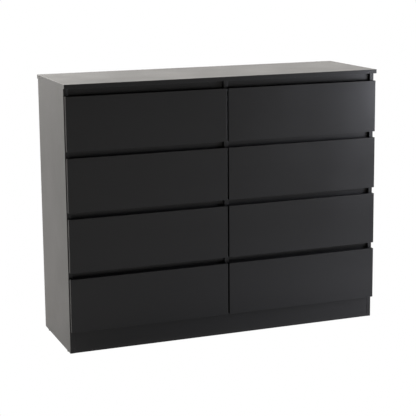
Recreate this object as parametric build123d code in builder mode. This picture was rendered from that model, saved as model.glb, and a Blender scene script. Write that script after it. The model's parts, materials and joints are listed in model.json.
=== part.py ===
"""Chest of eight drawers, two columns of four, with handleless overlay fronts.

The carcass is three uprights under a top, tied by front rails, a front plinth and two rear rails,
and closed by two hardboard sheets. Each drawer is a front, two grooved sides, a back and a hardboard
bottom. The grooves in its sides slide on plastic strips screwed to the uprights.

Millimetres, +Z up. The origin is on the floor under the middle of the overall box, the fronts face
-Y, and X runs along the width. Every drawer is modelled closed, and row 1 is the highest.
"""

import os
from collections import namedtuple

from build123d import *

os.makedirs("parts", exist_ok=True)

# Overall size
TOP_WIDTH = 1204.0
DEPTH = 383.0
HEIGHT = 966.0

# Boards
BOARD = 15.0  # uprights, top, rails and plinth
HARDBOARD = 3.0  # back sheets and drawer bottoms
EDGE_EASE = 0.8  # softened edge of a visible board
SIDE_OVERHANG = 2.0  # top beyond each side panel
FRONT_OVERHANG = 20.0  # top beyond the front edges of the side panels
BACK_INSET = 1.0  # back sheets in from the rear edge of the top

# Drawer fronts
ROWS = 4
FRONT_THICKNESS = 15.0
FRONT_HEIGHT = 192.0
FINGER_GAP = 23.0  # between one front and the next, where fingers pull the drawer
FRONT_BASE = 87.0  # floor to the lowest front
CENTRE_GAP = 6.0  # between the two columns of fronts
SIDE_REVEAL = 2.0  # of the side panel's edge beyond a front
FRONT_STANDOFF = 5.0  # from a closed front to the carcass

# Rails and plinth
RAIL_HEIGHT = 60.0
TOP_RAIL_HEIGHT = 45.0
RAIL_SETBACK = 10.0
PLINTH_TOP = 95.0
PLINTH_SETBACK = 1.0

# Back sheets
SHEET_MARGIN = 2.0  # in from the outer face of a side panel
SHEET_SEAM = 1.0  # between the two sheets, behind the partition
SHEET_DROP = 0.5  # under the top
SHEET_NAIL_MARGIN = 30.0  # from a sheet's end to its first nail
SHEET_NAIL_ROWS = 6
SHEET_NAIL_INSET = 4.0  # from an upright's inner face to its nails
RAIL_NAILS = 3

# Drawer boxes
BOX_BOARD = 12.0
BOX_LENGTH = 340.0
BOX_HEIGHT = 140.0
BOX_LIFT = 22.0  # lower edge of the box above the lower edge of its front
BOX_CLEARANCE = 4.0  # from each box side to its upright
BOTTOM_INSET = 10.0  # underside of the drawer bottom above the lower edge of the box
BOTTOM_GROOVE_DEPTH = 6.0
BOTTOM_GROOVE_PLAY = 0.2  # under and over the hardboard
BOTTOM_TONGUE = 5.5  # how far the drawer bottom enters its grooves
BOTTOM_END_PLAY = 1.0  # at each end of its tongue in the front
JOINT_LEVELS = (35.0, 115.0)  # cams and screws above the lower edge of the box
BOTTOM_NAIL_SPACING = 180.0

# Runner strips and the grooves that slide on them
STRIP_THICKNESS = 9.0
STRIP_HEIGHT = 16.0
STRIP_LENGTH = 330.0
STRIP_START = 6.0  # from the front edge of the upright to the strip
STRIP_LIFT = 56.0  # underside of the strip above the lower edge of the box
STRIP_NOSE = 3.0  # rounding of the strip's two ends
STRIP_SCREWS = 3
STRIP_SCREW_INSET = 30.0
RUNNER_GROOVE_DEPTH = 6.0
GROOVE_PLAY_UNDER = 0.9
GROOVE_PLAY_OVER = 0.1
RUNNER_GROOVE_STOP = 3.0  # the groove starts this far behind the front

# Cam locks of the carcass
CAM_RADIUS = 7.5
CAM_DEPTH = 12.5
CAM_SETBACK = 34.0  # from the end of a board to the middle of its cam
BOLT_RADIUS = 3.0
BOLT_BITE = 7.0  # into the face of an upright
TOP_BITE = 10.0  # bolt and dowel into the underside of the top
TOP_BOLT_INSET = 50.0  # from the edge of an upright to its top bolt
TOP_DOWEL_INSET = 82.0

# Cam locks of the drawers
BOX_CAM_RADIUS = 5.0
BOX_CAM_DEPTH = 9.5
BOX_CAM_SETBACK = 24.0
BOX_BOLT_RADIUS = 2.5
BOX_BOLT_BITE = 10.0

# Dowels, screws and nails
DOWEL_RADIUS = 4.0
DOWEL_LENGTH = 30.0
SCREW_RADIUS = 1.75
SCREW_HEAD_RADIUS = 3.6
SCREW_HEAD_DEPTH = 2.2
SCREW_CLEARANCE = 0.3
STRIP_SCREW_BITE = 6.5
BOX_SCREW_BITE = 22.0
NAIL_RADIUS = 0.8
NAIL_HEAD_RADIUS = 2.2
NAIL_HEAD_THICKNESS = 0.8
NAIL_BITE = 15.0  # into the board behind the hardboard
SLOT_LENGTH_RATIO = 0.6  # driver cross against the head's diameter
SLOT_WIDTH_RATIO = 0.13
SLOT_DEPTH_RATIO = 0.18

# Glides under the uprights
GLIDE_RADIUS = 7.0
GLIDE_HEIGHT = 5.0
GLIDE_PIN_RADIUS = 1.2
GLIDE_PIN_LENGTH = 14.0
GLIDE_INSET = 45.0

# Planes and levels that follow from the sizes above
CARCASS_WIDTH = TOP_WIDTH - 2 * SIDE_OVERHANG
INNER_FACE = CARCASS_WIDTH / 2 - BOARD
UPRIGHT_FRONT = -DEPTH / 2 + FRONT_OVERHANG
UPRIGHT_REAR = DEPTH / 2 - BACK_INSET - HARDBOARD
TOP_UNDERSIDE = HEIGHT - BOARD
ROW_PITCH = FRONT_HEIGHT + FINGER_GAP
FRONT_BACK_FACE = UPRIGHT_FRONT - FRONT_STANDOFF
FRONT_FACE = FRONT_BACK_FACE - FRONT_THICKNESS
BOX_REAR = FRONT_BACK_FACE + BOX_LENGTH
RAIL_FRONT = UPRIGHT_FRONT + RAIL_SETBACK
PLINTH_FRONT = UPRIGHT_FRONT + PLINTH_SETBACK
PLINTH_HEIGHT = PLINTH_TOP - GLIDE_HEIGHT
REAR_RAIL_FRONT = UPRIGHT_REAR - BOARD
BAYS = {"left": (-INNER_FACE, -BOARD / 2), "right": (BOARD / 2, INNER_FACE)}

# The upright at each side of a bay, as the x of its face and the direction out of the wood
BAY_FACES = [(low, 1) for low, high in BAYS.values()] + [(high, -1) for low, high in BAYS.values()]

# Middle of each upright, and its inner faces
UPRIGHTS = {
    "left_side_panel": (-INNER_FACE - BOARD / 2, ((-INNER_FACE, 1),)),
    "centre_partition": (0.0, ((-BOARD / 2, -1), (BOARD / 2, 1))),
    "right_side_panel": (INNER_FACE + BOARD / 2, ((INNER_FACE, -1),)),
}

UP, DOWN = (0, 0, 1), (0, 0, -1)
FRONTWARD, REARWARD = (0, -1, 0), (0, 1, 0)
FROM_FACE = (Align.CENTER, Align.CENTER, Align.MAX)
ON_FACE = (Align.CENTER, Align.CENTER, Align.MIN)

CrossBoard = namedtuple("CrossBoard", "node low high front bottom height cam_side")


# ---------------------------------------------------------------- shared helpers


def block(low, high, mode=Mode.ADD):
    """Adds the box between two corners to the part being built, or cuts it away."""
    size = Vector(*high) - Vector(*low)
    with Locations((Vector(*low) + Vector(*high)) / 2):
        Box(size.X, size.Y, size.Z, mode=mode)


def face_plane(x, y, z, normal):
    """A plane on a board's face. Holes go in against its normal."""
    return Plane(origin=(x, y, z), z_dir=normal)


def drill(planes, radius, depth):
    """Drills one hole of the part being built at each plane."""
    with Locations(*planes):
        Hole(radius, depth)


def write(piece, name):
    """Labels a finished piece and writes it as its own STEP file."""
    piece.part.label = name
    export_step(piece.part, f"parts/{name}.step")


def cut_driver_cross(head_radius):
    """Cuts the driver's cross into the face of the fastener being built."""
    length = 2 * head_radius * SLOT_LENGTH_RATIO
    width = 2 * head_radius * SLOT_WIDTH_RATIO
    depth = 2 * head_radius * SLOT_DEPTH_RATIO
    Box(length, width, depth, align=FROM_FACE, mode=Mode.SUBTRACT)
    Box(width, length, depth, align=FROM_FACE, mode=Mode.SUBTRACT)


def make_cam(radius, depth):
    with BuildPart() as cam:
        Cylinder(radius, depth, align=FROM_FACE)
        cut_driver_cross(radius)
    return cam.part


def make_screw(length):
    """A countersunk screw with its head's face at the origin."""
    with BuildPart() as screw:
        with BuildSketch(Plane.XZ):
            with BuildLine():
                Polyline(
                    (0, 0),
                    (SCREW_HEAD_RADIUS, 0),
                    (SCREW_RADIUS, -SCREW_HEAD_DEPTH),
                    (SCREW_RADIUS, -length),
                    (0, -length),
                    close=True,
                )
            make_face()
        revolve(axis=Axis.Z)
        cut_driver_cross(SCREW_HEAD_RADIUS)
    return screw.part


def make_nail():
    """A nail with the underside of its head at the origin."""
    with BuildPart() as nail:
        Cylinder(NAIL_HEAD_RADIUS, NAIL_HEAD_THICKNESS, align=ON_FACE)
        Cylinder(NAIL_RADIUS, HARDBOARD + NAIL_BITE, align=FROM_FACE)
    return nail.part


# ---------------------------------------------------------------- layout


def front_bottom(row):
    """Lower edge of the fronts in a row."""
    return FRONT_BASE + (ROWS - row) * ROW_PITCH


def box_bottom(row):
    """Lower edge of the drawer boxes in a row."""
    return front_bottom(row) + BOX_LIFT


def bottom_underside(row):
    """Underside of the drawer bottoms in a row."""
    return box_bottom(row) + BOTTOM_INSET


def joint_heights(row):
    """z of the cams and screws of the drawer boxes in a row."""
    return [box_bottom(row) + level for level in JOINT_LEVELS]


def list_cross_boards():
    """The boards between uprights. cam_side is the direction that their cams face along Y."""
    plinth = CrossBoard(
        "front_plinth", -INNER_FACE, INNER_FACE, PLINTH_FRONT, GLIDE_HEIGHT, PLINTH_HEIGHT, 1
    )
    boards = [plinth]
    for low, high in BAYS.values():
        top_rail_bottom = TOP_UNDERSIDE - TOP_RAIL_HEIGHT
        boards.append(
            CrossBoard("front_rails", low, high, RAIL_FRONT, top_rail_bottom, TOP_RAIL_HEIGHT, 1)
        )
        for row in range(2, ROWS + 1):
            gap_middle = front_bottom(row) + FRONT_HEIGHT + FINGER_GAP / 2
            rail_bottom = gap_middle - RAIL_HEIGHT / 2
            boards.append(
                CrossBoard("front_rails", low, high, RAIL_FRONT, rail_bottom, RAIL_HEIGHT, 1)
            )
        boards.append(
            CrossBoard("rear_rails", low, high, REAR_RAIL_FRONT, GLIDE_HEIGHT, PLINTH_HEIGHT, -1)
        )
    return boards


CROSS_BOARDS = list_cross_boards()


def board_ends(board):
    """The two ends of a cross board: the end's x, and the direction out of the wood."""
    return ((board.low, -1), (board.high, 1))


def bolt_point(board, x):
    """Where a cam lock's bolt crosses the plane at x."""
    return (x, board.front + BOARD / 2, board.bottom + board.height * 3 / 4)


def dowel_point(board, x):
    """Where a dowel crosses the plane at x."""
    return (x, board.front + BOARD / 2, board.bottom + board.height / 4)


def cam_plane(board, end, out):
    """Where the cam of one end lies, on the board's rear or front face."""
    face = board.front + BOARD if board.cam_side > 0 else board.front
    _, _, z = bolt_point(board, end)
    return face_plane(end - out * CAM_SETBACK, face, z, (0, board.cam_side, 0))


def plinth_dowel_planes(normal):
    """Two dowels between the plinth's rear face and the notch of the partition."""
    heights = (GLIDE_HEIGHT + PLINTH_HEIGHT / 4, GLIDE_HEIGHT + PLINTH_HEIGHT * 3 / 4)
    return [face_plane(0, PLINTH_FRONT + BOARD, z, normal) for z in heights]


def top_joint_depths(inset):
    """y of the front and rear top fasteners of an upright."""
    return (UPRIGHT_FRONT + inset, UPRIGHT_REAR - inset)


def top_cam_planes(faces):
    """Cams near the top of an upright, in the first of its inner faces."""
    face, out = faces[0]
    z = TOP_UNDERSIDE - CAM_SETBACK
    return [face_plane(face, y, z, (out, 0, 0)) for y in top_joint_depths(TOP_BOLT_INSET)]


def strip_screw_planes(face, out, inset):
    """Screws of one column of strips, on the plane a distance inset out of the upright."""
    first = UPRIGHT_FRONT + STRIP_START + STRIP_SCREW_INSET
    step = (STRIP_LENGTH - 2 * STRIP_SCREW_INSET) / (STRIP_SCREWS - 1)
    return [
        face_plane(
            face + out * inset,
            first + step * i,
            box_bottom(row) + STRIP_LIFT + STRIP_HEIGHT / 2,
            (out, 0, 0),
        )
        for row in range(1, ROWS + 1)
        for i in range(STRIP_SCREWS)
    ]


def glide_places(centre):
    """Centres on the floor of the two glides of an upright."""
    return [(centre, y) for y in (UPRIGHT_FRONT + GLIDE_INSET, UPRIGHT_REAR - GLIDE_INSET)]


def upright_nail_planes(face, out):
    """Nails of a back sheet into the rear edge of an upright, on the edge itself."""
    x = face - out * SHEET_NAIL_INSET
    first = GLIDE_HEIGHT + SHEET_NAIL_MARGIN
    step = (TOP_UNDERSIDE - SHEET_NAIL_MARGIN - first) / (SHEET_NAIL_ROWS - 1)
    return [face_plane(x, UPRIGHT_REAR, first + step * i, REARWARD) for i in range(SHEET_NAIL_ROWS)]


def rail_nail_planes(low, high):
    """Nails of a back sheet into its rear rail, on the rail's rear face."""
    step = (high - low) / (RAIL_NAILS + 1)
    z = GLIDE_HEIGHT + SHEET_NAIL_MARGIN
    return [face_plane(low + step * (i + 1), UPRIGHT_REAR, z, REARWARD) for i in range(RAIL_NAILS)]


def box_faces(bay):
    """Outer faces of a drawer box: each face's x, and the direction into the box."""
    low, high = BAYS[bay]
    return ((low + BOX_CLEARANCE, 1), (high - BOX_CLEARANCE, -1))


def bottom_nail_planes(bay, row):
    """Nails up through a drawer bottom into the box's back, on the bottom's underside."""
    (left, _), (right, _) = box_faces(bay)
    offsets = (-BOTTOM_NAIL_SPACING, 0, BOTTOM_NAIL_SPACING)
    y = BOX_REAR - BOX_BOARD / 2
    return [face_plane((left + right) / 2 + dx, y, bottom_underside(row), DOWN) for dx in offsets]


# ---------------------------------------------------------------- carcass


def make_top():
    """The top, with its edges softened and the bolt and dowel holes in its underside."""
    with BuildPart() as top:
        block((-TOP_WIDTH / 2, -DEPTH / 2, TOP_UNDERSIDE), (TOP_WIDTH / 2, DEPTH / 2, HEIGHT))
        fillet(top.edges(), EDGE_EASE)
        for centre, _ in UPRIGHTS.values():
            for y in top_joint_depths(TOP_BOLT_INSET):
                drill([face_plane(centre, y, TOP_UNDERSIDE, DOWN)], BOLT_RADIUS, TOP_BITE)
            for y in top_joint_depths(TOP_DOWEL_INSET):
                drill([face_plane(centre, y, TOP_UNDERSIDE, DOWN)], DOWEL_RADIUS, TOP_BITE)
    write(top, "top_panel")


def drill_upright_face(face, out):
    """Drills every hole that the face of an upright needs."""
    for board in CROSS_BOARDS:
        if face in (board.low, board.high):
            drill([face_plane(*bolt_point(board, face), (out, 0, 0))], BOLT_RADIUS, BOLT_BITE)
            drill([face_plane(*dowel_point(board, face), (out, 0, 0))], DOWEL_RADIUS, BOLT_BITE)
    drill(strip_screw_planes(face, out, 0), SCREW_RADIUS, STRIP_SCREW_BITE)
    drill(upright_nail_planes(face, out), NAIL_RADIUS, NAIL_BITE)


def make_uprights():
    """The two side panels and the partition, which is notched over the plinth."""
    size = (BOARD, UPRIGHT_REAR - UPRIGHT_FRONT, TOP_UNDERSIDE - GLIDE_HEIGHT)
    middle = ((UPRIGHT_FRONT + UPRIGHT_REAR) / 2, (GLIDE_HEIGHT + TOP_UNDERSIDE) / 2)
    for name, (centre, faces) in UPRIGHTS.items():
        with BuildPart() as upright:
            with Locations((centre, *middle)):
                Box(*size)
            fillet(upright.edges().filter_by(Axis.Z).group_by(Axis.Y)[0], EDGE_EASE)
            if name == "centre_partition":
                block(
                    (-BOARD, UPRIGHT_FRONT - BOARD, 0),
                    (BOARD, PLINTH_FRONT + BOARD, PLINTH_TOP),
                    Mode.SUBTRACT,
                )
                drill(plinth_dowel_planes(FRONTWARD), DOWEL_RADIUS, DOWEL_LENGTH - BOLT_BITE)
            for face, out in faces:
                drill_upright_face(face, out)
            drill(top_cam_planes(faces), CAM_RADIUS, CAM_DEPTH)
            for y in top_joint_depths(TOP_BOLT_INSET):
                drill([face_plane(centre, y, TOP_UNDERSIDE, UP)], BOLT_RADIUS, CAM_SETBACK)
            for y in top_joint_depths(TOP_DOWEL_INSET):
                drill(
                    [face_plane(centre, y, TOP_UNDERSIDE, UP)],
                    DOWEL_RADIUS,
                    DOWEL_LENGTH - TOP_BITE,
                )
            for x, y in glide_places(centre):
                drill([face_plane(x, y, GLIDE_HEIGHT, DOWN)], GLIDE_PIN_RADIUS, GLIDE_PIN_LENGTH)
        write(upright, name)


def make_cross_boards(node):
    """The plinth, the front rails or the rear rails, drilled at both ends."""
    boards = [board for board in CROSS_BOARDS if board.node == node]
    with BuildPart() as group:
        for board in boards:
            block(
                (board.low, board.front, board.bottom),
                (board.high, board.front + BOARD, board.bottom + board.height),
            )
        for board in boards:
            for end, out in board_ends(board):
                bolt = face_plane(*bolt_point(board, end), (out, 0, 0))
                dowel = face_plane(*dowel_point(board, end), (out, 0, 0))
                drill([cam_plane(board, end, out)], CAM_RADIUS, CAM_DEPTH)
                drill([bolt], BOLT_RADIUS, CAM_SETBACK)
                drill([dowel], DOWEL_RADIUS, DOWEL_LENGTH - BOLT_BITE)
        if node == "front_plinth":
            drill(plinth_dowel_planes(REARWARD), DOWEL_RADIUS, BOLT_BITE)
        if node == "rear_rails":
            for low, high in BAYS.values():
                drill(rail_nail_planes(low, high), NAIL_RADIUS, BOARD)
    write(group, node)


def make_back_sheets():
    """Two hardboard sheets nailed behind the uprights, which meet on the partition."""
    outer = CARCASS_WIDTH / 2 - SHEET_MARGIN
    nails = []
    for face, out in BAY_FACES:
        nails += upright_nail_planes(face, out)
    for low, high in BAYS.values():
        nails += rail_nail_planes(low, high)
    with BuildPart() as sheets:
        for low, high in ((-outer, -SHEET_SEAM / 2), (SHEET_SEAM / 2, outer)):
            block(
                (low, UPRIGHT_REAR, GLIDE_HEIGHT),
                (high, UPRIGHT_REAR + HARDBOARD, TOP_UNDERSIDE - SHEET_DROP),
            )
        drill([plane.offset(HARDBOARD) for plane in nails], NAIL_RADIUS, HARDBOARD)
    write(sheets, "back_sheets")


def make_carcass_fasteners():
    """The cam locks, the screws of the runner strips and the nails of the back sheets."""
    reach = CAM_SETBACK - CAM_RADIUS
    cams, bolts = [], []
    for board in CROSS_BOARDS:
        for end, out in board_ends(board):
            cams.append(cam_plane(board, end, out))
            tip = bolt_point(board, end + out * BOLT_BITE)
            bolts.append((face_plane(*tip, (out, 0, 0)), BOLT_BITE + reach))
    for centre, faces in UPRIGHTS.values():
        cams += top_cam_planes(faces)
        for y in top_joint_depths(TOP_BOLT_INSET):
            tip = face_plane(centre, y, TOP_UNDERSIDE + TOP_BITE, UP)
            bolts.append((tip, TOP_BITE + reach))
    screws, nails = [], []
    for face, out in BAY_FACES:
        screws += strip_screw_planes(face, out, STRIP_THICKNESS)
        nails += upright_nail_planes(face, out)
    for low, high in BAYS.values():
        nails += rail_nail_planes(low, high)
    cam = make_cam(CAM_RADIUS, CAM_DEPTH)
    screw = make_screw(STRIP_THICKNESS + STRIP_SCREW_BITE)
    nail = make_nail()
    with BuildPart() as fasteners:
        with Locations(*cams):
            add(cam)
        for plane, length in bolts:
            with Locations(plane):
                Cylinder(BOLT_RADIUS, length, align=FROM_FACE)
        with Locations(*screws):
            add(screw)
        with Locations(*[plane.offset(HARDBOARD) for plane in nails]):
            add(nail)
    write(fasteners, "carcass_fasteners")


def make_dowels():
    """The plain dowels of the cross boards and the top, and those of the plinth and partition."""
    tips = []
    for board in CROSS_BOARDS:
        for end, out in board_ends(board):
            tip = dowel_point(board, end + out * BOLT_BITE)
            tips.append(face_plane(*tip, (out, 0, 0)))
    for centre, _ in UPRIGHTS.values():
        for y in top_joint_depths(TOP_DOWEL_INSET):
            tips.append(face_plane(centre, y, TOP_UNDERSIDE + TOP_BITE, UP))
    tips += [plane.offset(BOLT_BITE) for plane in plinth_dowel_planes(FRONTWARD)]
    with BuildPart() as dowels:
        with Locations(*tips):
            Cylinder(DOWEL_RADIUS, DOWEL_LENGTH, align=FROM_FACE)
    write(dowels, "dowels")


def make_runner_strips():
    """The plastic strips, one on each side of every drawer, countersunk for their screws."""
    with BuildPart() as strips:
        for face, out in BAY_FACES:
            with BuildSketch(Plane.YZ.offset(face)):
                for row in range(1, ROWS + 1):
                    y = UPRIGHT_FRONT + STRIP_START + STRIP_LENGTH / 2
                    z = box_bottom(row) + STRIP_LIFT + STRIP_HEIGHT / 2
                    with Locations((y, z)):
                        RectangleRounded(STRIP_LENGTH, STRIP_HEIGHT, STRIP_NOSE)
            extrude(amount=out * STRIP_THICKNESS)
        for face, out in BAY_FACES:
            with Locations(*strip_screw_planes(face, out, STRIP_THICKNESS)):
                CounterSinkHole(
                    SCREW_RADIUS + SCREW_CLEARANCE,
                    SCREW_HEAD_RADIUS + SCREW_CLEARANCE,
                    STRIP_THICKNESS,
                )
    write(strips, "runner_strips")


def make_floor_glides():
    """Nail-on glides, each a low disc with a pin up into its upright."""
    with BuildPart() as glide:
        Cylinder(GLIDE_RADIUS, GLIDE_HEIGHT, align=ON_FACE)
        fillet(glide.edges().filter_by(GeomType.CIRCLE).sort_by(Axis.Z)[0], EDGE_EASE)
        Cylinder(GLIDE_PIN_RADIUS, GLIDE_HEIGHT + GLIDE_PIN_LENGTH, align=ON_FACE)
    with BuildPart() as glides:
        for centre, _ in UPRIGHTS.values():
            with Locations(*glide_places(centre)):
                add(glide.part)
    write(glides, "floor_glides")


# ---------------------------------------------------------------- drawers


def cut_bottom_groove(low_x, high_x, low_y, high_y, row):
    """Cuts the groove for a drawer bottom out of the board being built."""
    low_z = bottom_underside(row) - BOTTOM_GROOVE_PLAY
    high_z = bottom_underside(row) + HARDBOARD + BOTTOM_GROOVE_PLAY
    block((low_x, low_y, low_z), (high_x, high_y, high_z), Mode.SUBTRACT)


def make_drawer_front(bay, row):
    """The front, which laps the uprights, grooved and drilled behind for its box."""
    inner_edge, outer_edge = CENTRE_GAP / 2, CARCASS_WIDTH / 2 - SIDE_REVEAL
    low, high = (-outer_edge, -inner_edge) if bay == "left" else (inner_edge, outer_edge)
    bottom = front_bottom(row)
    (left, _), (right, _) = box_faces(bay)
    with BuildPart() as front:
        block((low, FRONT_FACE, bottom), (high, FRONT_BACK_FACE, bottom + FRONT_HEIGHT))
        fillet(front.edges(), EDGE_EASE)
        cut_bottom_groove(
            left + BOX_BOARD,
            right - BOX_BOARD,
            FRONT_BACK_FACE - BOTTOM_GROOVE_DEPTH,
            FRONT_BACK_FACE,
            row,
        )
        for outer, inward in box_faces(bay):
            for z in joint_heights(row):
                middle = outer + inward * BOX_BOARD / 2
                drill(
                    [face_plane(middle, FRONT_BACK_FACE, z, REARWARD)],
                    BOX_BOLT_RADIUS,
                    BOX_BOLT_BITE,
                )
    write(front, f"{bay}_drawer_{row}_front")


def make_drawer_side(bay, row, side, outer, inward):
    """A box side, grooved outside for its runner strip and inside for the drawer bottom."""
    bottom = box_bottom(row)
    inner = outer + inward * BOX_BOARD
    groove_floor = outer + inward * RUNNER_GROOVE_DEPTH
    groove_start = FRONT_BACK_FACE + RUNNER_GROOVE_STOP
    strip_bottom = bottom + STRIP_LIFT
    tongue = inner - inward * BOTTOM_GROOVE_DEPTH
    with BuildPart() as board:
        block(
            (min(outer, inner), FRONT_BACK_FACE, bottom),
            (max(outer, inner), BOX_REAR, bottom + BOX_HEIGHT),
        )
        fillet(board.edges().filter_by(Axis.Y).group_by(Axis.Z)[-1], EDGE_EASE)
        block(
            (min(outer, groove_floor), groove_start, strip_bottom - GROOVE_PLAY_UNDER),
            (max(outer, groove_floor), BOX_REAR, strip_bottom + STRIP_HEIGHT + GROOVE_PLAY_OVER),
            Mode.SUBTRACT,
        )
        cut_bottom_groove(min(inner, tongue), max(inner, tongue), FRONT_BACK_FACE, BOX_REAR, row)
        for z in joint_heights(row):
            middle = (outer + inner) / 2
            cam_y = FRONT_BACK_FACE + BOX_CAM_SETBACK
            screw_y = BOX_REAR - BOX_BOARD / 2
            drill(
                [face_plane(middle, FRONT_BACK_FACE, z, FRONTWARD)],
                BOX_BOLT_RADIUS,
                BOX_CAM_SETBACK,
            )
            drill([face_plane(inner, cam_y, z, (inward, 0, 0))], BOX_CAM_RADIUS, BOX_CAM_DEPTH)
            with Locations(face_plane(outer, screw_y, z, (-inward, 0, 0))):
                CounterSinkHole(
                    SCREW_RADIUS + SCREW_CLEARANCE,
                    SCREW_HEAD_RADIUS + SCREW_CLEARANCE,
                    BOX_BOARD,
                )
    write(board, f"{bay}_drawer_{row}_{side}_side")


def make_drawer_back(bay, row):
    """The back, between the box sides and resting on the drawer bottom."""
    (left, _), (right, _) = box_faces(bay)
    with BuildPart() as back:
        block(
            (left + BOX_BOARD, BOX_REAR - BOX_BOARD, bottom_underside(row) + HARDBOARD),
            (right - BOX_BOARD, BOX_REAR, box_bottom(row) + BOX_HEIGHT),
        )
        fillet(back.edges().filter_by(Axis.X).group_by(Axis.Z)[-1], EDGE_EASE)
        for outer, inward in box_faces(bay):
            end = outer + inward * BOX_BOARD
            for z in joint_heights(row):
                screw = face_plane(end, BOX_REAR - BOX_BOARD / 2, z, (-inward, 0, 0))
                drill([screw], SCREW_RADIUS, BOX_SCREW_BITE)
        nails = [plane.offset(-HARDBOARD) for plane in bottom_nail_planes(bay, row)]
        drill(nails, NAIL_RADIUS, NAIL_BITE)
    write(back, f"{bay}_drawer_{row}_back")


def make_drawer_bottom(bay, row):
    """The hardboard bottom, held in the grooves of the front and the two sides."""
    (left, _), (right, _) = box_faces(bay)
    inner_left, inner_right = left + BOX_BOARD, right - BOX_BOARD
    underside = bottom_underside(row)
    with BuildPart() as bottom:
        block(
            (inner_left - BOTTOM_TONGUE, FRONT_BACK_FACE, underside),
            (inner_right + BOTTOM_TONGUE, BOX_REAR, underside + HARDBOARD),
        )
        block(
            (inner_left + BOTTOM_END_PLAY, FRONT_BACK_FACE - BOTTOM_TONGUE, underside),
            (inner_right - BOTTOM_END_PLAY, FRONT_BACK_FACE, underside + HARDBOARD),
        )
        drill(bottom_nail_planes(bay, row), NAIL_RADIUS, HARDBOARD)
    write(bottom, f"{bay}_drawer_{row}_bottom")


def make_drawer_fasteners(bay, row, cam, screw, nail):
    """The cam locks at the front, the screws at the back and the nails of the bottom."""
    reach = BOX_CAM_SETBACK - BOX_CAM_RADIUS
    cams, bolts, screws = [], [], []
    for outer, inward in box_faces(bay):
        inner = outer + inward * BOX_BOARD
        middle = (outer + inner) / 2
        for z in joint_heights(row):
            cam_y = FRONT_BACK_FACE + BOX_CAM_SETBACK
            cams.append(face_plane(inner, cam_y, z, (inward, 0, 0)))
            bolts.append(face_plane(middle, FRONT_BACK_FACE - BOX_BOLT_BITE, z, FRONTWARD))
            screws.append(face_plane(outer, BOX_REAR - BOX_BOARD / 2, z, (-inward, 0, 0)))
    with BuildPart() as fasteners:
        with Locations(*cams):
            add(cam)
        with Locations(*bolts):
            Cylinder(BOX_BOLT_RADIUS, BOX_BOLT_BITE + reach, align=FROM_FACE)
        with Locations(*screws):
            add(screw)
        with Locations(*bottom_nail_planes(bay, row)):
            add(nail)
    write(fasteners, f"{bay}_drawer_{row}_fasteners")


make_top()
make_uprights()
for node in ("front_plinth", "front_rails", "rear_rails"):
    make_cross_boards(node)
make_back_sheets()
make_carcass_fasteners()
make_dowels()
make_runner_strips()
make_floor_glides()

box_cam = make_cam(BOX_CAM_RADIUS, BOX_CAM_DEPTH)
box_screw = make_screw(BOX_BOARD + BOX_SCREW_BITE)
box_nail = make_nail()
for bay in BAYS:
    for row in range(1, ROWS + 1):
        make_drawer_front(bay, row)
        for side, (outer, inward) in zip(("left", "right"), box_faces(bay)):
            make_drawer_side(bay, row, side, outer, inward)
        make_drawer_back(bay, row)
        make_drawer_bottom(bay, row)
        make_drawer_fasteners(bay, row, box_cam, box_screw, box_nail)
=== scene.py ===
"""Looks for the chest of eight drawers: materials, small fittings, floor, light and camera."""

import json
import math

import bmesh
import bpy
from mathutils import Matrix, Vector


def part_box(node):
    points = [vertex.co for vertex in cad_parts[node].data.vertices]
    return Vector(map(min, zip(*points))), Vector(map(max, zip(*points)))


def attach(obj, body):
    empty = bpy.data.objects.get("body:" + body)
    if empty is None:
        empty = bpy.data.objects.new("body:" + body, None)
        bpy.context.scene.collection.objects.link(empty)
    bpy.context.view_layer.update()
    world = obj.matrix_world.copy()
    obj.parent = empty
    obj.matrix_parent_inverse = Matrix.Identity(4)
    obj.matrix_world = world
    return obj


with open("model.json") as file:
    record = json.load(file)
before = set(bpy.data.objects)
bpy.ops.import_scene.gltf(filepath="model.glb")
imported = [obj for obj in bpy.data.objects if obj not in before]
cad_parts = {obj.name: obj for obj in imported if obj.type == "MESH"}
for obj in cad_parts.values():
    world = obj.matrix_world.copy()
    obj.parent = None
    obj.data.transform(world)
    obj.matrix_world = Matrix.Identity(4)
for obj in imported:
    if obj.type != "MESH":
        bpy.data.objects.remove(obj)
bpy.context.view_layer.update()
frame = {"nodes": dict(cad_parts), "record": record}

MM = 0.001
BAYS = ("left", "right")
ROWS = (1, 2, 3, 4)


# ---------------------------------------------------------------- node helpers


def new_material(name):
    """A new material with only a Principled shader in it: the material, its tree and the shader."""
    material = bpy.data.materials.new(name)
    material.use_nodes = True
    tree = material.node_tree
    tree.nodes.clear()
    output = tree.nodes.new("ShaderNodeOutputMaterial")
    shader = tree.nodes.new("ShaderNodeBsdfPrincipled")
    tree.links.new(shader.outputs["BSDF"], output.inputs["Surface"])
    return material, tree, shader


def add_node(tree, kind, inputs=None, **settings):
    """Adds a node, sets its properties, and links or sets its inputs."""
    node = tree.nodes.new(kind)
    for key, value in settings.items():
        setattr(node, key, value)
    for key, value in (inputs or {}).items():
        if isinstance(value, bpy.types.NodeSocket):
            tree.links.new(value, node.inputs[key])
        else:
            node.inputs[key].default_value = value
    return node


def noise(tree, scale, stretch=(1, 1, 1), detail=3.0, roughness=0.55, distortion=0.0):
    """Noise in the object's own space, with features of 1/scale metres, longer where stretch is low."""
    coords = add_node(tree, "ShaderNodeTexCoord")
    mapping = add_node(
        tree,
        "ShaderNodeMapping",
        {"Vector": coords.outputs["Object"], "Scale": tuple(scale * s for s in stretch)},
    )
    texture = add_node(
        tree,
        "ShaderNodeTexNoise",
        {
            "Vector": mapping.outputs["Vector"],
            "Scale": 1.0,
            "Detail": detail,
            "Roughness": roughness,
            "Distortion": distortion,
        },
    )
    return texture.outputs["Fac"]


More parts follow.
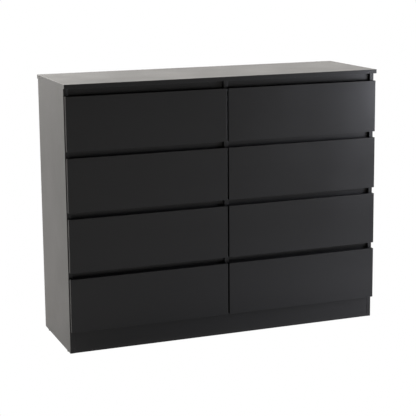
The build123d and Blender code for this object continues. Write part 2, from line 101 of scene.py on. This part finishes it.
def remap(tree, value, low, high, to_low, to_high):
    """A value moved from one range to another, and held within it."""
    node = add_node(
        tree,
        "ShaderNodeMapRange",
        {
            "Value": value,
            "From Min": low,
            "From Max": high,
            "To Min": to_low,
            "To Max": to_high,
        },
    )
    return node.outputs["Result"]


def blend_colours(tree, fac, first, second):
    """A colour between two, each of them a socket or red, green and blue."""
    node = add_node(tree, "ShaderNodeMix", data_type="RGBA")
    for socket, value in (("Factor", fac), ("A", first), ("B", second)):
        target = next(s for s in node.inputs if s.name == socket and s.enabled)
        if isinstance(value, bpy.types.NodeSocket):
            tree.links.new(value, target)
        else:
            target.default_value = (*value, 1.0)
    return next(s for s in node.outputs if s.enabled)


def combine(tree, operation, first, second=0.0):
    """One step of arithmetic, on sockets or numbers."""
    node = add_node(tree, "ShaderNodeMath", {0: first, 1: second}, operation=operation)
    return node.outputs["Value"]


def dot_product(tree, first, second):
    node = add_node(
        tree, "ShaderNodeVectorMath", {0: first, 1: second}, operation="DOT_PRODUCT"
    )
    return node.outputs["Value"]


def edge_mask(tree, radius, sharpness=3.0):
    """Near 1 within a radius of a sharp edge, from the rounded normal against the real one."""
    bevel = add_node(tree, "ShaderNodeBevel", {"Radius": radius}, samples=4)
    geometry = add_node(tree, "ShaderNodeNewGeometry")
    agreement = dot_product(tree, bevel.outputs["Normal"], geometry.outputs["Normal"])
    away = combine(tree, "SUBTRACT", 1.0, agreement)
    return combine(tree, "MULTIPLY", away, sharpness)


def bump(tree, height, strength, distance):
    node = add_node(
        tree, "ShaderNodeBump", {"Height": height, "Strength": strength, "Distance": distance}
    )
    return node.outputs["Normal"]


def facing(tree, direction):
    """The cosine of the angle between a face's normal, in the object's own space, and a direction."""
    coords = add_node(tree, "ShaderNodeTexCoord")
    return dot_product(tree, coords.outputs["Normal"], direction)


def camera_ray(tree):
    """1 where the camera looks straight at a surface, and 0 in its light and reflections."""
    return add_node(tree, "ShaderNodeLightPath").outputs["Is Camera Ray"]


# ---------------------------------------------------------------- materials

WITHIN_60_DEGREES = 0.5  # the cosine that a face's normal has at least, to count as facing a way
GRAIN_STRETCH = 0.03  # the grain's width over its length
MIDDLE = (0.3, 0.7)  # where nearly all of a noise's values lie
NARROW_MIDDLE = (0.35, 0.65)


def foil_material(name, colours, rough, grain_axis, worn_colour, band_rough=None):
    """Satin foil on board: fine pores along the grain, soft mottling and lightly worn edges.

    The left and right edges may have a duller band, with a roughness of its own.
    """
    material, tree, shader = new_material(name)
    stretch = [1.0, 1.0, 1.0]
    stretch[grain_axis] = GRAIN_STRETCH
    pores = noise(tree, 900.0, stretch, detail=4.0, roughness=0.6)
    mottle = noise(tree, 9.0, stretch, detail=2.0)
    handling = noise(tree, 3.5, detail=3.0)
    tone = combine(tree, "MULTIPLY", pores, mottle)
    base = blend_colours(tree, remap(tree, tone, 0.1, 0.45, 0.0, 1.0), *colours)
    scuffs = combine(tree, "MULTIPLY", edge_mask(tree, 1.2 * MM), noise(tree, 60.0, detail=3.0))
    base = blend_colours(tree, scuffs, base, worn_colour)
    tree.links.new(base, shader.inputs["Base Color"])
    spread = 0.03
    smear = remap(tree, handling, *MIDDLE, rough - spread, rough + spread)
    fine = remap(tree, pores, *MIDDLE, -spread, spread)
    foil_rough = combine(tree, "ADD", smear, fine)
    if band_rough is not None:
        sideways = combine(tree, "ABSOLUTE", facing(tree, (1.0, 0.0, 0.0)))
        band = combine(tree, "GREATER_THAN", sideways, WITHIN_60_DEGREES)
        duller = combine(tree, "MULTIPLY", band, band_rough - rough)
        foil_rough = combine(tree, "ADD", foil_rough, duller)
    tree.links.new(foil_rough, shader.inputs["Roughness"])
    tree.links.new(bump(tree, pores, 0.25, 0.05 * MM), shader.inputs["Normal"])
    return material


def hardboard_material(name, face_colours, rear_colours, rear_normal):
    """Hardboard: one printed face, and one bare face with its fibres and dark specks."""
    material, tree, shader = new_material(name)
    is_rear = combine(tree, "GREATER_THAN", facing(tree, rear_normal), WITHIN_60_DEGREES)
    fibres = noise(tree, 260.0, detail=5.0, roughness=0.7, distortion=0.6)
    clouds = noise(tree, 5.0, detail=3.0)
    specks = remap(tree, noise(tree, 120.0, detail=2.0), 0.66, 0.72, 0.0, 1.0)
    fibre_tone = remap(tree, fibres, *MIDDLE, 0.0, 1.0)
    bare = blend_colours(tree, fibre_tone, *rear_colours)
    bare = blend_colours(tree, combine(tree, "MULTIPLY", clouds, 0.35), bare, rear_colours[0])
    bare = blend_colours(tree, combine(tree, "MULTIPLY", specks, 0.5), bare, SPECK_BROWN)
    printed = blend_colours(tree, fibre_tone, *face_colours)
    tree.links.new(blend_colours(tree, is_rear, printed, bare), shader.inputs["Base Color"])
    rough = remap(tree, is_rear, 0.0, 1.0, PRINTED_ROUGH, BARE_ROUGH)
    tree.links.new(rough, shader.inputs["Roughness"])
    tree.links.new(bump(tree, fibres, 0.35, 0.12 * MM), shader.inputs["Normal"])
    return material


def metal_material(name, colours, rough):
    """Bright zinc plating with a fine spangle and small scratches."""
    material, tree, shader = new_material(name)
    shader.inputs["Metallic"].default_value = 1.0
    spangle = noise(tree, 700.0, detail=3.0)
    base = blend_colours(tree, remap(tree, spangle, *NARROW_MIDDLE, 0.0, 1.0), *colours)
    tree.links.new(base, shader.inputs["Base Color"])
    scratches = noise(tree, 1500.0, detail=2.0)
    scratched = remap(tree, scratches, *MIDDLE, rough - 0.07, rough + 0.1)
    tree.links.new(scratched, shader.inputs["Roughness"])
    tree.links.new(bump(tree, spangle, 0.15, 0.05 * MM), shader.inputs["Normal"])
    return material


def wood_material(name, colours):
    """Plain turned beech with short flecks."""
    material, tree, shader = new_material(name)
    flecks = noise(tree, 500.0, (0.1, 1.0, 1.0), detail=4.0)
    base = blend_colours(tree, remap(tree, flecks, *NARROW_MIDDLE, 0.0, 1.0), *colours)
    tree.links.new(base, shader.inputs["Base Color"])
    tree.links.new(remap(tree, flecks, *MIDDLE, 0.5, 0.65), shader.inputs["Roughness"])
    tree.links.new(bump(tree, flecks, 0.3, 0.1 * MM), shader.inputs["Normal"])
    return material


def plastic_material(name, colours, rough):
    """Moulded plastic with a fine matt texture and faint flow marks."""
    material, tree, shader = new_material(name)
    flow = noise(tree, 40.0, (0.3, 1.0, 1.0), detail=2.0, distortion=1.0)
    base = blend_colours(tree, remap(tree, flow, *NARROW_MIDDLE, 0.0, 1.0), *colours)
    tree.links.new(base, shader.inputs["Base Color"])
    grit = noise(tree, 2500.0, detail=2.0)
    gritty = remap(tree, grit, *MIDDLE, rough - 0.05, rough + 0.05)
    tree.links.new(gritty, shader.inputs["Roughness"])
    tree.links.new(bump(tree, grit, 0.2, 0.04 * MM), shader.inputs["Normal"])
    return material


ALONG_X, ALONG_Y, ALONG_Z = 0, 1, 2
BLACK = ((0.0075, 0.0075, 0.0078), (0.0115, 0.0115, 0.0118))
BLACK_ROUGH = 0.36
BAND_ROUGH = 0.8
WORN_BLACK = (0.045, 0.045, 0.046)
BOX_GREY = ((0.045, 0.045, 0.047), (0.062, 0.062, 0.064))
WORN_GREY = (0.12, 0.12, 0.12)
PRINTED_BLACK = ((0.014, 0.014, 0.015), (0.022, 0.022, 0.023))
PRINTED_GREY = ((0.055, 0.055, 0.057), (0.072, 0.072, 0.074))
PRINTED_ROUGH = 0.42
BARE_BROWN = ((0.17, 0.095, 0.05), (0.27, 0.165, 0.095))
BARE_ROUGH = 0.68
SPECK_BROWN = (0.10, 0.055, 0.03)
BACKWARD = (0.0, 1.0, 0.0)
DOWNWARD = (0.0, 0.0, -1.0)
ZINC = ((0.50, 0.51, 0.52), (0.66, 0.67, 0.68))
BEECH = ((0.42, 0.27, 0.15), (0.58, 0.40, 0.24))
STRIP_GREY = ((0.58, 0.57, 0.54), (0.64, 0.63, 0.60))
GLIDE_BLACK = ((0.04, 0.04, 0.04), (0.055, 0.055, 0.055))

black_across = foil_material("black_foil_across", BLACK, BLACK_ROUGH, ALONG_X, WORN_BLACK)
black_upright = foil_material("black_foil_upright", BLACK, BLACK_ROUGH, ALONG_Z, WORN_BLACK)
black_front = foil_material(
    "black_foil_front", BLACK, BLACK_ROUGH, ALONG_X, WORN_BLACK, band_rough=BAND_ROUGH
)
box_foil = foil_material("drawer_foil", BOX_GREY, 0.45, ALONG_Y, WORN_GREY)
back_board = hardboard_material("back_hardboard", PRINTED_BLACK, BARE_BROWN, BACKWARD)
drawer_board = hardboard_material("drawer_hardboard", PRINTED_GREY, BARE_BROWN, DOWNWARD)
zinc = metal_material("zinc", ZINC, 0.32)
beech = wood_material("beech", BEECH)
strip_plastic = plastic_material("strip_plastic", STRIP_GREY, 0.42)
glide_plastic = plastic_material("glide_plastic", GLIDE_BLACK, 0.45)

UPRIGHTS = ("left_side_panel", "right_side_panel", "centre_partition")
SLOT_OF_NODE = {part["node"]: part["material_slot"] for part in frame["record"]["subparts"]}
MATERIAL_OF_SLOT = {
    "drawer_foil_board": box_foil,
    "drawer_hardboard": drawer_board,
    "back_hardboard": back_board,
    "zinc_plated_steel": zinc,
    "dowel_wood": beech,
    "runner_plastic": strip_plastic,
    "glide_plastic": glide_plastic,
}


def node_material(node):
    """The material of a CAD node: by the record's slot, and on black boards by their grain too."""
    slot = SLOT_OF_NODE[node]
    if slot != "black_foil_board":
        return MATERIAL_OF_SLOT[slot]
    if node in UPRIGHTS:
        return black_upright
    if "_drawer_" in node:
        return black_front
    return black_across


for node in frame["nodes"]:
    cad_object = bpy.data.objects[node]
    cad_object.data.materials.clear()
    cad_object.data.materials.append(node_material(node))


# ---------------------------------------------------------------- bumper pads

PAD_RISE = 3.9 * MM  # of the 5 mm between a closed front and the carcass
PAD_EDGE = 0.8 * MM  # rounding of the pad's rim
PAD_MARGIN = 30.0 * MM  # from the front's upper and lower edges
OUTER_PAD = (3.5 * MM, 5.0 * MM)  # half width and half height
INNER_PAD = (1.7 * MM, 5.0 * MM)
OUTER_PAD_INSET = 6.5 * MM  # from the front's edge to the pad's middle
INNER_PAD_INSET = 2.3 * MM
PAD_STEPS = 20  # points round a pad's outline


def pad_ring(mesh, centre, half_width, half_height, rise):
    """One ring of a pad's outline, a slot with round ends, at a height above the board."""
    straight = half_height - half_width
    ring = []
    for step in range(PAD_STEPS):
        angle = 2 * math.pi * (step + 0.5) / PAD_STEPS
        x = half_width * math.cos(angle)
        z = half_width * math.sin(angle) + math.copysign(straight, math.sin(angle))
        ring.append(mesh.verts.new((centre.x + x, centre.y + rise, centre.z + z)))
    return ring


def add_pad(mesh, centre, half_width, half_height):
    """A small soft pad with a rounded rim, standing on the back of a drawer front."""
    profile = (
        (0.0, 0.0),
        (0.0, PAD_RISE - PAD_EDGE),
        (0.3 * PAD_EDGE, PAD_RISE - 0.3 * PAD_EDGE),  # about where a round rim is halfway
        (PAD_EDGE, PAD_RISE),
    )
    rings = [
        pad_ring(mesh, centre, half_width - inset, half_height - inset, rise)
        for inset, rise in profile
    ]
    for lower, upper in zip(rings, rings[1:]):
        for i in range(PAD_STEPS):
            j = (i + 1) % PAD_STEPS
            mesh.faces.new((lower[i], upper[i], upper[j], lower[j]))
    mesh.faces.new(rings[0])
    mesh.faces.new(list(reversed(rings[-1])))


def make_bumper_pads(side, row):
    """The pads behind one drawer front, which face the edges of the uprights."""
    low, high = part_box(f"{side}_drawer_{row}_front")
    inset_low, inset_high = OUTER_PAD_INSET, INNER_PAD_INSET
    size_low, size_high = OUTER_PAD, INNER_PAD
    if side == "right":
        inset_low, inset_high = inset_high, inset_low
        size_low, size_high = size_high, size_low
    shape = bmesh.new()
    for z in (low[2] + PAD_MARGIN, high[2] - PAD_MARGIN):
        add_pad(shape, Vector((low[0] + inset_low, high[1], z)), *size_low)
        add_pad(shape, Vector((high[0] - inset_high, high[1], z)), *size_high)
    bmesh.ops.recalc_face_normals(shape, faces=shape.faces)
    name = f"{side}_drawer_{row}_bumper_pads"
    mesh = bpy.data.meshes.new(name)
    shape.to_mesh(mesh)
    shape.free()
    mesh.materials.append(glide_plastic)
    pads = bpy.data.objects.new(name, mesh)
    bpy.context.scene.collection.objects.link(pads)
    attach(pads, f"{side}_drawer_{row}")


for side in BAYS:
    for row in ROWS:
        make_bumper_pads(side, row)


# ---------------------------------------------------------------- floor, light and camera

ROOM_TINT = (1.03, 1.0, 0.96)
COOL_TINT = (0.98, 1.0, 1.11)
PLAIN_WHITE = (1.0, 1.0, 1.0)
FLOOR_REACH = 60.0
FLOOR_COLOUR = (0.75, 0.75, 0.75)
# The floor glows like a lit backdrop under and behind the chest, and hardly in front of it.
FLOOR_GLOW_FRONT = 0.015
FLOOR_GLOW_BEHIND = 0.49
GLOW_STARTS = -0.25  # in Y
GLOW_FULL = -0.10
# Each glow on the walls and ceiling: degrees round from the front, degrees up, brightness, tightness.
WALL_LIGHTS = (
    (-150, 5, 6.3, 14),
    (-120, 5, 2.84, 14),
    (-90, 5, 0.87, 14),
    (-90, 32, 0.24, 14),
    (150, 5, 1.27, 14),
    (180, 5, 1.55, 14),
    (45, 15, 0.08, 10),
    (0, 90, 0.8, 6),
)
# Each softbox: its name, place, the point that it faces, width in metres and power in watts.
SOFTBOXES = (
    ("near_softbox", (1.4, -0.6, 0.7), (0.3, -0.2, 0.6), 0.5, 10.9),
    ("corner_softbox", (0.95, -0.6, 0.84), (0.5, -0.2, 0.85), 0.22, 0.6),
    ("far_softbox", (1.9, -0.9, 0.7), (0.3, -0.2, 0.6), 0.5, 11.7),
)
CAMERA_PLACE = (-1.6961, -4.3649, 1.4429)
# In radians: turned to the right of straight ahead, tipped down, and leaned over.
CAMERA_YAW = 0.3698
CAMERA_PITCH = 0.1761
CAMERA_ROLL = -0.0086
SENSOR_WIDTH = 36.0
FOCAL_LENGTH = 109.46
FRAME_SHIFT = -0.10  # down from the lens's axis, over the frame's width


def camera_white(tree, colour, strength):
    """A shader's colour and strength, which are plain white where the camera looks straight at it."""
    is_camera = camera_ray(tree)
    seen = blend_colours(tree, is_camera, colour, PLAIN_WHITE)
    level = add_node(
        tree, "ShaderNodeMix", {"Factor": is_camera, "A": strength, "B": 1.0}, data_type="FLOAT"
    )
    return seen, level.outputs["Result"]


def make_floor():
    """A plain pale floor that carries on to the horizon."""
    mesh = bpy.data.meshes.new("floor")
    corners = [
        (-FLOOR_REACH, -FLOOR_REACH, 0),
        (FLOOR_REACH, -FLOOR_REACH, 0),
        (FLOOR_REACH, FLOOR_REACH, 0),
        (-FLOOR_REACH, FLOOR_REACH, 0),
    ]
    mesh.from_pydata(corners, [], [(0, 1, 2, 3)])
    floor = bpy.data.objects.new("floor", mesh)
    bpy.context.scene.collection.objects.link(floor)
    material, tree, shader = new_material("floor")
    base = blend_colours(tree, camera_ray(tree), FLOOR_COLOUR, (0.0, 0.0, 0.0))
    tree.links.new(base, shader.inputs["Base Color"])
    shader.inputs["Roughness"].default_value = 1.0
    shader.inputs["Specular IOR Level"].default_value = 0.0
    coords = add_node(tree, "ShaderNodeTexCoord")
    place = add_node(tree, "ShaderNodeSeparateXYZ", {"Vector": coords.outputs["Object"]})
    glow_range = (GLOW_STARTS, GLOW_FULL, FLOOR_GLOW_FRONT, FLOOR_GLOW_BEHIND)
    glow = remap(tree, place.outputs["Y"], *glow_range)
    colour, strength = camera_white(tree, ROOM_TINT, glow)
    tree.links.new(colour, shader.inputs["Emission Color"])
    tree.links.new(strength, shader.inputs["Emission Strength"])
    mesh.materials.append(material)


def make_world():
    """A studio that glows behind the chest and to its left; plain white where the camera sees it."""
    world = bpy.data.worlds.new("studio")
    bpy.context.scene.world = world
    world.use_nodes = True
    tree = world.node_tree
    tree.nodes.clear()
    coords = add_node(tree, "ShaderNodeTexCoord")
    total = 0.0
    for turn, rise, level, tightness in WALL_LIGHTS:
        around, above = math.radians(turn), math.radians(rise)
        toward = (
            math.sin(around) * math.cos(above),
            -math.cos(around) * math.cos(above),
            math.sin(above),
        )
        closeness = dot_product(tree, coords.outputs["Generated"], toward)
        away = combine(tree, "SUBTRACT", closeness, 1.0)
        falloff = combine(tree, "POWER", math.e, combine(tree, "MULTIPLY", away, tightness))
        total = combine(tree, "ADD", total, combine(tree, "MULTIPLY", falloff, level))
    colour, strength = camera_white(tree, ROOM_TINT, total)
    background = add_node(tree, "ShaderNodeBackground", {"Color": colour, "Strength": strength})
    output = add_node(tree, "ShaderNodeOutputWorld")
    tree.links.new(background.outputs["Background"], output.inputs["Surface"])


def make_softbox(name, place, target, width, power):
    """A square area light that faces a point, and that the camera doesn't see."""
    data = bpy.data.lights.new(name, "AREA")
    data.shape = "SQUARE"
    data.size = width
    data.energy = power
    data.color = COOL_TINT
    light = bpy.data.objects.new(name, data)
    light.location = place
    light.rotation_euler = (Vector(target) - Vector(place)).to_track_quat("-Z", "Y").to_euler()
    light.visible_camera = False
    bpy.context.scene.collection.objects.link(light)


def make_camera():
    """The camera, to the left of the chest and above it."""
    data = bpy.data.cameras.new("camera")
    data.sensor_width = SENSOR_WIDTH
    data.lens = FOCAL_LENGTH
    data.shift_y = FRAME_SHIFT
    camera = bpy.data.objects.new("camera", data)
    level = math.cos(CAMERA_PITCH)
    ahead = Vector(
        (math.sin(CAMERA_YAW) * level, math.cos(CAMERA_YAW) * level, -math.sin(CAMERA_PITCH))
    )
    right = Vector((math.cos(CAMERA_YAW), -math.sin(CAMERA_YAW), 0.0))
    up = right.cross(ahead)
    turn, lean = math.cos(CAMERA_ROLL), math.sin(CAMERA_ROLL)
    right, up = turn * right + lean * up, turn * up - lean * right
    place = Matrix((right, up, -ahead)).transposed().to_4x4()
    place.translation = CAMERA_PLACE
    camera.matrix_world = place
    bpy.context.scene.collection.objects.link(camera)
    bpy.context.scene.camera = camera


make_floor()
make_world()
for softbox in SOFTBOXES:
    make_softbox(*softbox)
make_camera()
bpy.context.scene.view_settings.view_transform = "Standard"
